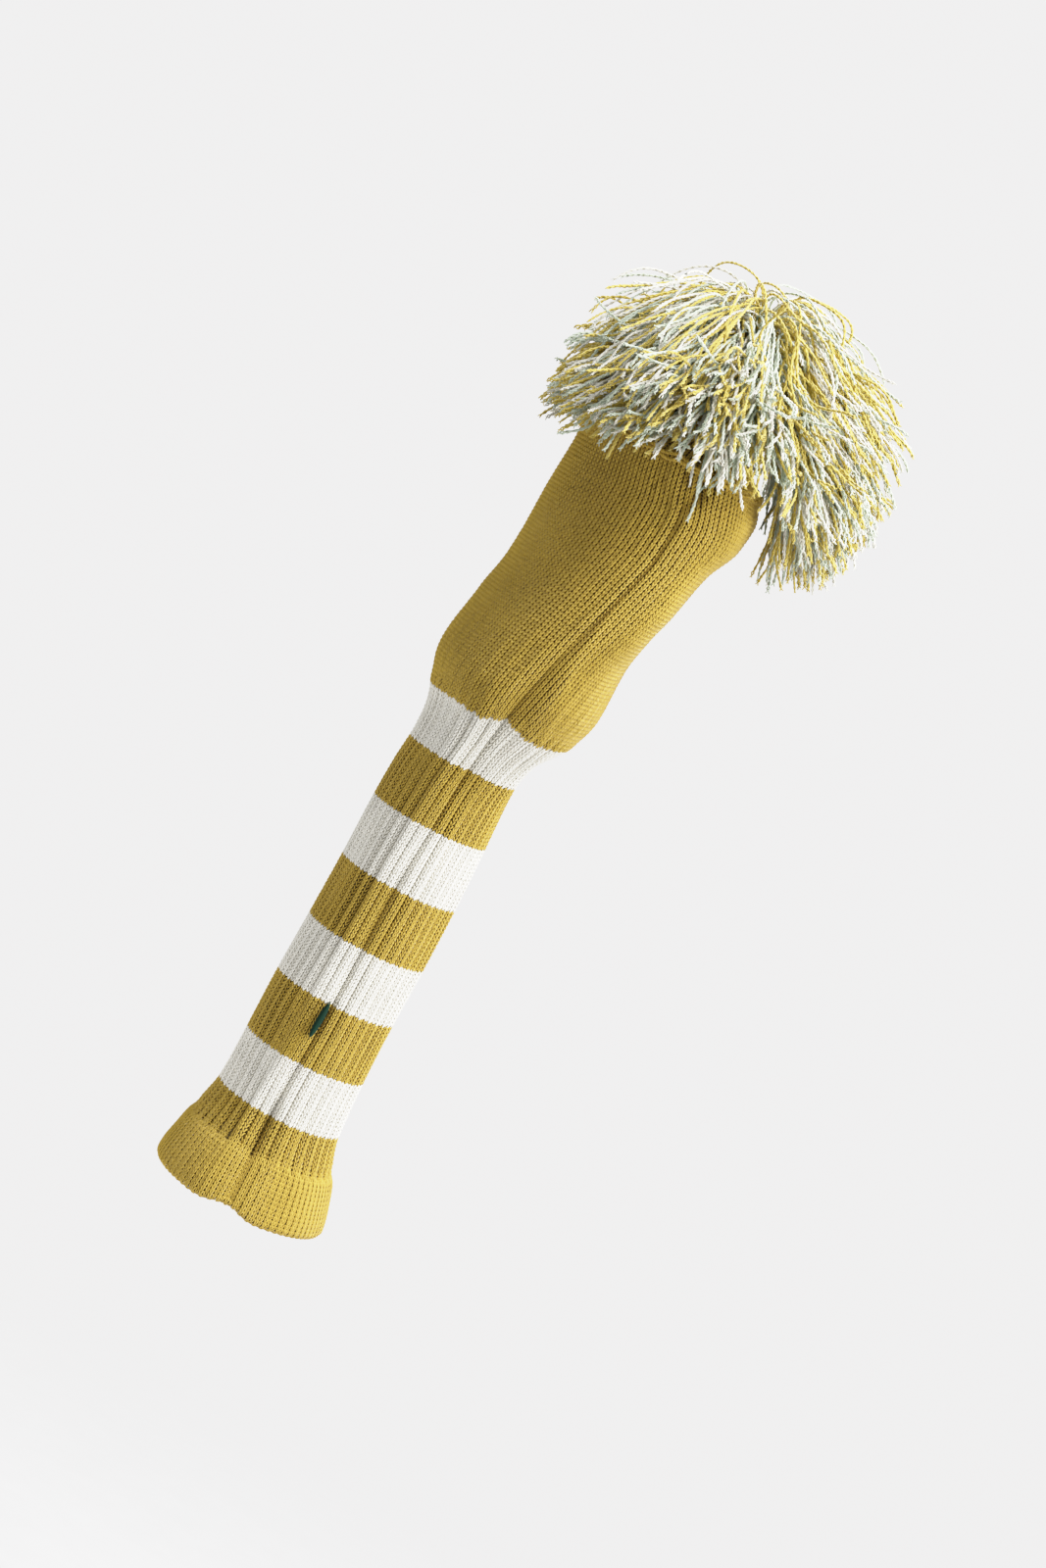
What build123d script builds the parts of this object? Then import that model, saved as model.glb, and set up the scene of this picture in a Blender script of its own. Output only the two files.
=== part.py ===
from build123d import *
import math
import os

# A knitted head cover for a golf driver: a flared cuff, a long ribbed neck in alternating colours, an oval
# pocket for the club head, and a loose yarn pom-pom tied to the crown. Millimetres. The origin is the middle
# of the mouth, +Z runs up the neck to the crown, and the side seam faces -Y.

# The knitted tube
FABRIC = 2.4                     # thickness of one layer of knitting
FACING_GAP = 0.1                 # between the cuff and the hem turned up inside it
FACING_HEIGHT = 27.0             # how far up the turned hem reaches, to its line of stitches
CUFF_TOP = 43.0
SHOULDER_TOP = 243.5             # where the striped neck ends and the pocket starts
STRIPE_TOPS = {                  # upper edge of each stripe of the neck, from the cuff up
    "neck_white_lower": 69.5,
    "neck_ochre_lower": 99.0,
    "neck_white_middle": 127.0,
    "neck_ochre_middle": 157.5,
    "neck_white_upper": 188.0,
    "neck_ochre_upper": 218.5,
    "shoulder_white": SHOULDER_TOP,
}
NECK_BOTTOM = 69.5                # between these heights the neck is straight
NECK_TOP = 203.0
NECK_CENTRE = -3.0               # the neck sits a little to one side of the mouth's middle
NECK_HALF_WIDTH = 27.0
NECK_HALF_DEPTH = 38.5
HEM_HALF_WIDTH = 41.3
HEM_HALF_DEPTH = 50.0
POCKET_HALF_DEPTH = 60.0
CROWN_TOP = 408.0
CROWN_CENTRE = 25.0              # the pocket leans, so its crown is off to +X
CROWN_HOLE = 4.6                 # radius that the gathered crown leaves round the pom-pom's tie

# Inside the tube
LINING = 1.2
LINING_CLEARANCE = 1.9           # room between the pocket and its lining, for the seam
SEAM_WIDTH = 4.0
SEAM_HEIGHT = 1.6
SEAM_GAP = 0.1
ELASTIC_WIDTH = 6.0
ELASTIC_THICKNESS = 0.8
ELASTIC_GAP = 0.2

# Hem stitches
STITCH_COUNT = 36
STITCH_LENGTH = 3.0
STITCH_THREAD = 1.0
STITCH_LIFT = 0.5                # gap to the cuff, which slopes

# Label tab, sewn into the seam by one edge
LABEL_BOTTOM = 83.5
LABEL_LENGTH = 17.5
LABEL_REACH = 9.0
LABEL_THICKNESS = 2.4
LABEL_GAP = 0.8
LABEL_SHIFT = -1.7               # the seam is to this side of the neck's middle where the label is

# Crown and pom-pom
ROLL_THICKNESS = 1.3             # half the thickness of the rolled edge
ROLL_GAP = 0.2
GATHER_CORD = 0.65
PIVOT_HEIGHT = 410.0
TIE_KNOT = 3.2
KNOT_CLEARANCE = 0.35
ANCHOR_RADIUS = 7.0
ANCHOR_THICKNESS = 1.6
ANCHOR_GAP = 0.5                 # between the anchor and the inside of the crown
CORE_RADIUS = 12.2
CORE_HEIGHT = 424.5
CORE_CENTRE = 29.0
BINDING_THREAD = 0.9
BINDING_RISE = -25.0             # degrees below level at which the binding goes round the core
TUFT_ROOT = 2.2
TUFT_TIP = 9.5
TUFT_GAP = 0.4                   # between the core and the foot of each tuft
TUFT_REACH = 79.0
CROWN_TUFT_REACH = 65.0          # the topmost tufts sag, so they stand lower
LOCK_TIP = 6.5
LOCK_RISE = 8.0                  # degrees above level at which a hanging lock leaves the core
LOCK_ELBOW = 66.0
RIGHT_DROP = 74.0
LEFT_DROP = 30.0
COLOURS = ("ochre", "white", "sage")


class Oval:
    """One cross-section of the tube: an ellipse at a height, with its centre on the plane Y = 0."""

    def __init__(self, height, centre, half_width, half_depth):
        self.height = height
        self.centre = centre
        self.half_width = half_width
        self.half_depth = half_depth

    def face(self, inset=0.0, drop=0.0):
        """The filled ellipse, made smaller by inset and lowered by drop."""
        ellipse = Ellipse(self.half_width - inset, self.half_depth - inset)
        return Pos(self.centre, 0, self.height - drop) * ellipse


def neck_oval(height):
    return Oval(height, NECK_CENTRE, NECK_HALF_WIDTH, NECK_HALF_DEPTH)


HEM = Oval(0.0, 0.0, HEM_HALF_WIDTH, HEM_HALF_DEPTH)
STITCH_LINE = Oval(FACING_HEIGHT, -1.4, 32.6, 43.2)
CUFF_EDGE = Oval(CUFF_TOP, -2.4, 29.0, 40.0)
SHOULDER_EDGE = Oval(SHOULDER_TOP, 1.2, 34.4, 49.5)
POCKET_LOW = Oval(262.0, 2.2, 39.2, 56.5)
POCKET_WAIST = Oval(290.0, 4.4, 37.6, 59.0)
POCKET_MIDDLE = Oval(320.0, 9.6, 39.2, POCKET_HALF_DEPTH)
POCKET_WIDEST = Oval(350.0, 14.6, 43.0, POCKET_HALF_DEPTH)
POCKET_HIGH = Oval(370.0, 16.6, 44.0, 57.5)
CROWN_SHOULDER = Oval(386.0, 16.6, 41.8, 52.5)
CROWN_SLOPE = Oval(398.5, 19.4, 31.5, 39.0)
CROWN_RIM = Oval(CROWN_TOP, CROWN_CENTRE, 11.5, 14.0)

CUFF = [HEM, STITCH_LINE, CUFF_EDGE, neck_oval(NECK_BOTTOM - 14), neck_oval(NECK_BOTTOM)]
POCKET = [neck_oval(NECK_TOP), neck_oval(NECK_TOP + 7), neck_oval(NECK_TOP + 14), SHOULDER_EDGE]
POCKET += [POCKET_LOW, POCKET_WAIST, POCKET_MIDDLE, POCKET_WIDEST, POCKET_HIGH]
CROWN = [CROWN_SHOULDER, CROWN_SLOPE, CROWN_RIM]


def cuff_solid(inset=0.0):
    """Everything inside the surface that lies inset under the outside of the flared cuff."""
    return loft([oval.face(inset) for oval in CUFF])


def neck_solid(inset=0.0):
    """The same for the straight part of the neck."""
    return extrude(neck_oval(NECK_BOTTOM).face(inset), NECK_TOP - NECK_BOTTOM)


def pocket_solid(inset=0.0):
    """The same for the shoulder, the pocket and the crown."""
    return loft([oval.face(inset) for oval in POCKET] + [oval.face(inset, drop=inset) for oval in CROWN])


def tube_solid(inset=0.0):
    return cuff_solid(inset) + neck_solid(inset) + pocket_solid(inset)


def slab(bottom, top):
    """All of space between two heights, wide enough for the whole cover."""
    return Pos(0, 0, (bottom + top) / 2) * Box(400, 400, top - bottom)


def striped_tube():
    """The cuff, the neck's stripes and the pocket: one tube of knitting, cut where the colour changes."""
    shell = tube_solid() - tube_solid(FABRIC)
    shell -= Pos(CROWN_CENTRE, 0, CROWN_TOP) * Cylinder(CROWN_HOLE, 20)
    parts = {"cuff_outer": shell & slab(0, CUFF_TOP)}
    bottom = CUFF_TOP
    for name, top in STRIPE_TOPS.items():
        parts[name] = shell & slab(bottom, top)
        bottom = top
    parts["head_pocket"] = shell & slab(SHOULDER_TOP, CROWN_TOP)
    return parts


def cuff_facing():
    """The end of the cuff, turned up inside as a second layer."""
    outside = cuff_solid(FABRIC + FACING_GAP)
    inside = cuff_solid(2 * FABRIC + FACING_GAP)
    return (outside - inside) & slab(0, FACING_HEIGHT)


def hem_stitches():
    """A ring of separate stitches that holds the turned-up edge."""
    across = STITCH_LINE.half_width + STITCH_LIFT
    deep = STITCH_LINE.half_depth + STITCH_LIFT
    stitches = []
    for index in range(STITCH_COUNT):
        turn = 2 * math.pi * (index + 0.5) / STITCH_COUNT
        point = (STITCH_LINE.centre + across * math.cos(turn), deep * math.sin(turn), STITCH_LINE.height)
        along = (-across * math.sin(turn), deep * math.cos(turn), 0)
        place = Plane(origin=point, x_dir=along, z_dir=(0, 0, 1))
        stitches.append(place * Pos(0, -STITCH_THREAD / 2, 0) * Box(STITCH_LENGTH, STITCH_THREAD, STITCH_THREAD))
    return Compound(children=stitches)


def neck_elastics():
    """Flat elastic rings inside the neck's ochre stripes, which pull it in on the shaft."""
    outer = FABRIC + ELASTIC_GAP
    inner = outer + ELASTIC_THICKNESS
    ring = Ellipse(NECK_HALF_WIDTH - outer, NECK_HALF_DEPTH - outer)
    ring -= Ellipse(NECK_HALF_WIDTH - inner, NECK_HALF_DEPTH - inner)
    band = extrude(ring, ELASTIC_WIDTH)
    return Compound(children=[Pos(NECK_CENTRE, 0, height - ELASTIC_WIDTH / 2) * band for height in elastic_heights()])


def elastic_heights():
    """The middle heights of the neck's ochre stripes."""
    tops = list(STRIPE_TOPS.values())
    names = list(STRIPE_TOPS)[1:]
    return [(below + above) / 2 for name, below, above in zip(names, tops, tops[1:]) if "ochre" in name]


def side_seam():
    """The joined edges of the knitting, a ridge up the inside that stops for the elastics."""
    ridge = tube_solid(FABRIC + SEAM_GAP) - tube_solid(FABRIC + SEAM_GAP + SEAM_HEIGHT)
    foot = Oval(FACING_HEIGHT + 1, NECK_CENTRE, 0, 0)
    middle = Oval(SHOULDER_TOP, SHOULDER_EDGE.centre - 4, 0, 0)
    top = Oval(CROWN_SHOULDER.height - 10, POCKET_HIGH.centre - 6, 0, 0)
    half = SEAM_WIDTH / 2
    outline = [(oval.centre - half, oval.height) for oval in (foot, middle, top)]
    outline += [(oval.centre + half, oval.height) for oval in (top, middle, foot)]
    strip = extrude(Plane.XZ * make_face(Polyline(*outline, close=True)), 100)
    ridge &= strip
    for height in elastic_heights():
        ridge -= slab(height - ELASTIC_WIDTH / 2 - 1, height + ELASTIC_WIDTH / 2 + 1)
    return ridge


def head_lining():
    """A thin bag that hangs inside the pocket, closed over the head's crown."""
    outside = pocket_solid(FABRIC + LINING_CLEARANCE)
    inside = pocket_solid(FABRIC + LINING_CLEARANCE + LINING)
    return (outside - inside) & slab(SHOULDER_TOP + 6, CROWN_TOP - FABRIC - ANCHOR_GAP - ANCHOR_THICKNESS - 0.3)


def side_label():
    """A folded tab: a flat ribbon with a round edge on its hinge line, just off the seam."""
    hinge = label_hinge()
    plate = Box(LABEL_THICKNESS, LABEL_REACH, LABEL_LENGTH, align=(Align.CENTER, Align.MAX, Align.MIN))
    edge = Cylinder(LABEL_THICKNESS / 2, LABEL_LENGTH, align=(Align.CENTER, Align.CENTER, Align.MIN))
    tip = Pos(0, -LABEL_REACH, 0) * edge
    return Pos(hinge.X, hinge.Y, LABEL_BOTTOM) * (plate + edge + tip)


def label_hinge():
    """Where the label's hinge line crosses the plane of the mouth."""
    return Vector(NECK_CENTRE + LABEL_SHIFT, -(NECK_HALF_DEPTH + LABEL_THICKNESS / 2 + LABEL_GAP), 0)


def crown_pieces():
    """The rolled last rows of knitting, the cord that gathers them and the knot's backing inside."""
    parts = {}
    reach = ROLL_THICKNESS + ROLL_GAP
    rim = Ellipse(CROWN_SHOULDER.half_width + reach, CROWN_SHOULDER.half_depth + reach)
    around = Pos(CROWN_SHOULDER.centre, 0, CROWN_SHOULDER.height) * rim.edge()
    across = Plane(origin=around @ 0, z_dir=around % 0) * Circle(ROLL_THICKNESS)
    parts["crown_rolled_edge"] = sweep(across, path=around)
    cord = Torus(CROWN_HOLE + GATHER_CORD + 0.2, GATHER_CORD)
    parts["crown_gather_cord"] = Pos(CROWN_CENTRE, 0, CROWN_TOP + GATHER_CORD + 0.1) * cord
    disc = Cylinder(ANCHOR_RADIUS, ANCHOR_THICKNESS, align=(Align.CENTER, Align.CENTER, Align.MAX))
    stub_height = PIVOT_HEIGHT - TIE_KNOT - KNOT_CLEARANCE - (CROWN_TOP - FABRIC - ANCHOR_GAP)
    stub = Cylinder(1.6, stub_height, align=(Align.CENTER, Align.CENTER, Align.MIN))
    parts["tie_anchor"] = Pos(CROWN_CENTRE, 0, CROWN_TOP - FABRIC - ANCHOR_GAP) * (disc + stub)
    return parts


def core_point():
    return Vector(CORE_CENTRE, 0, CORE_HEIGHT)


def pivot_point():
    return Vector(CROWN_CENTRE, 0, PIVOT_HEIGHT)


def pom_middle():
    """The tie's knot, which the pom-pom rocks on, the bound middle of its yarn and the thread that binds it."""
    knot = Pos(*pivot_point()) * Sphere(TIE_KNOT)
    socket = Pos(*pivot_point()) * Sphere(TIE_KNOT + KNOT_CLEARANCE)
    core = Pos(*core_point()) * Sphere(CORE_RADIUS) - socket
    way = direction(0, BINDING_RISE) * (CORE_RADIUS + BINDING_THREAD + TUFT_GAP)
    binding = Pos(*core_point()) * Pos(0, 0, way.Z) * Torus(way.X, BINDING_THREAD)
    return {"pom_tie": knot, "pom_core": core, "pom_binding": binding}


def bundle(points, radii):
    """A soft bundle of yarn through points: a cone between each pair, with a ball at each bend and at the tip."""
    solid = None
    for start, end, thin, thick in zip(points, points[1:], radii, radii[1:]):
        run = end - start
        length = run.length
        cone = Cylinder(thin, length) if thin == thick else Cone(thin, thick, length)
        stretch = Plane(origin=start, z_dir=run) * Pos(0, 0, length / 2) * cone
        stretch += Pos(*end) * Sphere(thick)
        solid = stretch if solid is None else solid + stretch
    return solid


def direction(turn, rise):
    """The unit vector at turn degrees round from +X and rise degrees above level."""
    turn = math.radians(turn)
    rise = math.radians(rise)
    return Vector(math.cos(turn) * math.cos(rise), math.sin(turn) * math.cos(rise), math.sin(rise))


def foot(way):
    return core_point() + way * (CORE_RADIUS + TUFT_GAP)


def tuft_ring(count, rise, reach, first=0.0):
    """Straight tufts round the core at one height."""
    tufts = []
    for index in range(count):
        way = direction(first + 360 * index / count, rise)
        tip = core_point() + way * (reach - TUFT_TIP)
        tufts.append(bundle([foot(way), tip], [TUFT_ROOT, TUFT_TIP]))
    return tufts


def hanging_ring(count):
    """Locks that leave the core nearly level, bend over an elbow and hang, furthest at the two sides."""
    locks = []
    for index in range(count):
        turn = 360 * index / count
        way = direction(turn, LOCK_RISE)
        side = math.cos(math.radians(turn))
        drop = (RIGHT_DROP if side > 0 else LEFT_DROP) * side ** 4
        elbow = core_point() + way * LOCK_ELBOW
        tip = elbow - Vector(0, 0, drop)
        points = [foot(way), elbow] if drop < LOCK_TIP else [foot(way), elbow, tip]
        locks.append(bundle(points, [TUFT_ROOT, LOCK_TIP, LOCK_TIP][: len(points)]))
    return locks


def pom_yarn():
    """The yarn as tufts, shared out between the three colours in turn within each ring."""
    rings = {
        "hanging": hanging_ring(12),
        "lower": tuft_ring(11, 33, TUFT_REACH, first=12),
        "upper": tuft_ring(7, 60, TUFT_REACH - 4),
    }
    rings["upper"].append(bundle([foot(Vector(0, 0, 1)), core_point() + Vector(0, 0, CROWN_TUFT_REACH - TUFT_TIP)],
                                 [TUFT_ROOT, TUFT_TIP]))
    parts = {}
    for ring, tufts in rings.items():
        for shift, colour in enumerate(COLOURS):
            parts[f"pom_{colour}_{ring}"] = Compound(children=tufts[shift::3])
    return parts


def main():
    parts = striped_tube()
    parts["cuff_facing"] = cuff_facing()
    parts["hem_stitches"] = hem_stitches()
    parts["neck_elastics"] = neck_elastics()
    parts["side_seam"] = side_seam()
    parts["head_lining"] = head_lining()
    parts["side_label"] = side_label()
    parts |= crown_pieces() | pom_middle() | pom_yarn()
    os.makedirs("parts", exist_ok=True)
    for name, part in parts.items():
        export_step(part, f"parts/{name}.step")


main()
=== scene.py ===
import math
from collections import namedtuple

import bpy
import numpy as np
from mathutils import Matrix, Vector


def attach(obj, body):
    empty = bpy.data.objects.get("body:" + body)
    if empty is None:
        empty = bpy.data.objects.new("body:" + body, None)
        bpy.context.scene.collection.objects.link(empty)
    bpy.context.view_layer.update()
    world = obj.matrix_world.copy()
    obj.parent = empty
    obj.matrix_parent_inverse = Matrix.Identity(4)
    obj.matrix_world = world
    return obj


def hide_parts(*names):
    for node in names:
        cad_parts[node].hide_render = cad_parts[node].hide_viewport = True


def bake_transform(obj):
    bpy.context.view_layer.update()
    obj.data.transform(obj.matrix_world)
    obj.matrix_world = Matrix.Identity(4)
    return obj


# The looks of a knitted driver head cover. Its stitches, its pom-pom's plied yarn and its label are real
# geometry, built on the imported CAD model's frame. Sizes are in millimetres until a mesh is made, apart from
# the ends of the drapes and the studio, which are in metres.

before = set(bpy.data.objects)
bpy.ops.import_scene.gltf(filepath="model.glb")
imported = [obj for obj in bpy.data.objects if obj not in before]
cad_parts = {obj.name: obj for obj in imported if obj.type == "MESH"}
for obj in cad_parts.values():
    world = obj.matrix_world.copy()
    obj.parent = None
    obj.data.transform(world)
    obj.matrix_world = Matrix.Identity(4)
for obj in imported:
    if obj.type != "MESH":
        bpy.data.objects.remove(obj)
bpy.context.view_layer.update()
MM = 0.001

# ---------------------------------------------------------------- the knitted form

Oval = namedtuple("Oval", "height centre half_width half_depth")
OVALS = [
    Oval(0.0, -1.0, 41.3, 50.0),
    Oval(6.0, -1.4, 40.6, 49.4),
    Oval(14.0, -1.7, 38.6, 48.0),
    Oval(22.0, -2.3, 36.2, 46.0),
    Oval(27.0, -2.9, 33.6, 44.0),
    Oval(35.0, -3.4, 30.8, 41.6),
    Oval(43.0, -3.6, 29.2, 40.0),
    Oval(69.0, -3.8, 28.3, 38.6),
    Oval(130.0, -3.4, 27.8, 38.4),
    Oval(205.0, -3.8, 26.2, 38.4),
    Oval(218.0, -3.3, 25.9, 39.2),
    Oval(230.0, -1.9, 27.4, 42.0),
    Oval(240.0, 0.7, 31.7, 46.5),
    Oval(246.0, 1.6, 35.0, 50.5),
    Oval(262.0, 2.0, 38.6, 56.0),
    Oval(290.0, 4.0, 36.6, 58.6),
    Oval(305.0, 6.8, 36.9, 59.2),
    Oval(320.0, 9.5, 38.6, 59.6),
    Oval(342.0, 12.4, 41.2, 59.8),
    Oval(358.0, 16.4, 44.0, 59.0),
    Oval(370.0, 17.4, 44.2, 57.4),
    Oval(384.0, 14.8, 42.2, 54.0),
]
# How far each section's foremost point is off to +X, where the club's head pushes the pocket out
Lean = namedtuple("Lean", "height shift")
LEANS = [
    Lean(0.0, 0.0),
    Lean(243.0, 0.0),
    Lean(275.0, 9.0),
    Lean(320.0, 20.0),
    Lean(355.0, 20.0),
    Lean(384.0, 12.0),
]
# Where the side seam lies across the front, height by height
SeamPoint = namedtuple("SeamPoint", "height across depth width")
SEAM = [
    SeamPoint(0.0, -3.3, 3.0, 6.0),
    SeamPoint(22.0, -3.5, 4.2, 4.5),
    SeamPoint(36.0, -3.8, 6.5, 3.6),
    SeamPoint(56.0, -3.9, 3.2, 3.4),
    SeamPoint(88.0, -3.2, 2.4, 3.0),
    SeamPoint(150.0, -2.4, 2.4, 3.0),
    SeamPoint(205.0, 0.4, 3.2, 3.6),
    SeamPoint(238.0, 5.5, 6.5, 5.5),
    SeamPoint(262.0, 9.4, 4.4, 4.5),
    SeamPoint(285.0, 14.5, 2.6, 2.4),
    SeamPoint(315.0, 23.2, 2.3, 1.0),
    SeamPoint(342.0, 29.8, 2.4, 1.0),
    SeamPoint(358.0, 30.8, 2.0, 1.3),
    SeamPoint(372.0, 27.6, 3.6, 2.6),
    SeamPoint(382.0, 25.4, 4.0, 3.0),
]

WALES = 144                      # columns of stitches round the tube
RIB = 4                          # columns in each rib of the neck, one of them sunk
COURSE = 1.88                    # height of one row of stitches
FINE = 8                         # samples of the form per column
HEM_TURN = 2.3                   # radius of the fold at the hem
FOLD_BACK = -4.9                 # where the hem's fold ends and its facing starts
FACING_END = -32.0
HEM_LINE = 27.0
CUFF_TOP = 43.0
RIBS_END = 244.0
RIM_START = 380.5
RIM_RADIUS = 6.0
RIM_TURN = 1.35                  # angle that the rim rolls inward through
CROWN_REACH = 40.0               # length of the gathered top, from the rim to the tie
RIM_END = RIM_START + RIM_TURN * RIM_RADIUS
CROWN_END = RIM_END + CROWN_REACH
CROWN_RISE = 21.0
CROWN_HOLE = 5.0
CROWN_CENTRE = 25.0
FURROW = 3.0                     # depth between two ribs
RIB_CREST = 0.55
HEM_RISE = 3.4                   # the hem rises at the seam and sags either side of it
HEM_SAG = 2.2
RIB_WAVER = 0.35                 # share by which the furrows' depth drifts
HEM_GRAIN = 0.24
POCKET_GRAIN = 0.22
COLUMN_GAP = 0.22                # depth between two columns of the pocket's plain knitting
PLEAT = 0.35
HEM_PUCKER = 1.5                 # depth of the dimple where the hem's thread crosses a furrow
SLACK = 0.55                     # how far the whole fabric drifts in and out
PUCKER = Vector((32.7, 0.0, 377.0))
PUCKER_DEPTH = 9.0
WAVE_COUNT = 9
ROUND_SAMPLES = 1441


def through(points, column, at):
    """A smooth curve through one column of the points, with no overshoot, read at each value of at."""
    x = np.array([p.height for p in points])
    y = np.array([getattr(p, column) for p in points])
    step = np.diff(x)
    slope = np.diff(y) / step
    same = slope[1:] * slope[:-1] > 0
    mean = np.where(same, 2 * slope[1:] * slope[:-1] / np.where(same, slope[1:] + slope[:-1], 1), 0)
    tangent = np.concatenate([[slope[0]], mean, [slope[-1]]])
    i = np.clip(np.searchsorted(x, at) - 1, 0, len(step) - 1)
    t = np.clip((at - x[i]) / step[i], 0, 1)
    rise = y[i + 1] - y[i]
    first = tangent[i] * step[i]
    last = tangent[i + 1] * step[i]
    return y[i] + t * (first + t * (3 * rise - 2 * first - last + t * (first + last - 2 * rise)))


def step_up(x, start, end):
    """0 below start, 1 above end, and smooth between them."""
    t = np.clip((x - start) / (end - start), 0, 1)
    return t * t * (3 - 2 * t)


def waves(a, b, seed, lengths):
    """Soft random undulation of two coordinates, about -1 to 1."""
    rng = np.random.default_rng(seed)
    total = 0
    for _ in range(WAVE_COUNT):
        turn = rng.uniform(0, 2 * math.pi)
        scale = 2 * math.pi / rng.uniform(*lengths)
        ahead = a * math.cos(turn) + b * math.sin(turn)
        total = total + np.sin(scale * ahead + rng.uniform(0, 2 * math.pi))
    return total / math.sqrt(WAVE_COUNT)


def ribbing(along):
    """How strongly the knitting is ribbed: fully in the neck, and not in the hem or the pocket."""
    return step_up(along, HEM_LINE, HEM_LINE + 5) * (1 - step_up(along, RIBS_END - 8, RIBS_END + 12))


def relief(wale, along):
    """Height of the knitting's own surface over the smooth form, in the ribs and in the doubled hem."""
    furrow = np.abs((wale + RIB / 2) % RIB - RIB / 2)
    rib = RIB_CREST - FURROW * (1 - np.sqrt(1 - (1 - furrow / 2) ** 2))
    deep = 1 + RIB_WAVER * waves(wale * 3.1, along, 3, (40, 120))
    hem = HEM_GRAIN * np.cos(math.pi * wale) * (1 - step_up(along, HEM_LINE - 5, HEM_LINE))
    pocket = POCKET_GRAIN * np.cos(2 * math.pi * wale / RIB) * step_up(along, RIBS_END, RIBS_END + 8)
    pocket = pocket * (1 - step_up(along, RIBS_END + 20, RIBS_END + 60))
    pucker = HEM_PUCKER * np.exp(-((along - HEM_LINE) / 2.0) ** 2) * np.exp(-(furrow / 0.6) ** 2)
    gap = COLUMN_GAP * np.cos(2 * math.pi * wale) * step_up(along, RIBS_END - 20, RIBS_END + 5)
    from_seam = np.abs((wale + WALES / 2) % WALES - WALES / 2)
    pleat = PLEAT * np.cos(math.pi * wale) * np.exp(-from_seam / 6)
    pleat = pleat * step_up(along, RIBS_END, RIM_START - 20)
    return rib * deep * ribbing(along) + hem + pocket + gap + pleat - pucker


def hem_turn(along):
    """The angle that the fabric has turned through at the hem's fold: 0 outside, and pi in the facing."""
    return np.clip((HEM_TURN - along) / HEM_TURN, 0, math.pi)


def form_rows(along):
    """The height, centre, half sizes and lean of the oval at each distance along the fabric from the hem."""
    turn = hem_turn(along)
    inside = np.maximum(HEM_TURN - math.pi * HEM_TURN - along, 0)
    rim = np.clip((along - RIM_START) / RIM_RADIUS, 0, RIM_TURN)
    folded = HEM_TURN * (1 - np.sin(turn)) + inside
    height = np.where(along > HEM_TURN, np.minimum(along, RIM_START), folded)
    side = np.clip(height, 0, OVALS[-1].height)
    inset = HEM_TURN * (1 - np.cos(turn)) + RIM_RADIUS * (1 - np.cos(rim))
    gather = step_up(along, RIM_END - 6, CROWN_END)
    top = height + RIM_RADIUS * np.sin(rim) + CROWN_RISE * gather
    centre = through(OVALS, "centre", side) * (1 - gather) + CROWN_CENTRE * gather
    width = (through(OVALS, "half_width", side) - inset) * (1 - gather) + CROWN_HOLE * gather
    depth = (through(OVALS, "half_depth", side) - inset) * (1 - gather) + CROWN_HOLE * gather
    lean = through(LEANS, "shift", side) * (1 - gather)
    return top, centre, width, depth, lean


def folds(across, along, height, front):
    """How far the form sinks: the seam's crease and the pucker at the crown."""
    away = np.abs(across - through(SEAM, "across", height))
    depth = through(SEAM, "depth", height)
    width = through(SEAM, "width", height)
    swell = np.exp(-((away - 2.2 * width) / (1.2 * width)) ** 2)
    crease = depth * np.exp(-away / width) - 0.35 * depth * swell
    pucker = PUCKER_DEPTH * np.exp(-((across - PUCKER.x) / 3.6) ** 2 - ((along - PUCKER.z) / 8.5) ** 2)
    return np.where(front, crease + pucker, 0) * np.cos(hem_turn(along))


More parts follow.
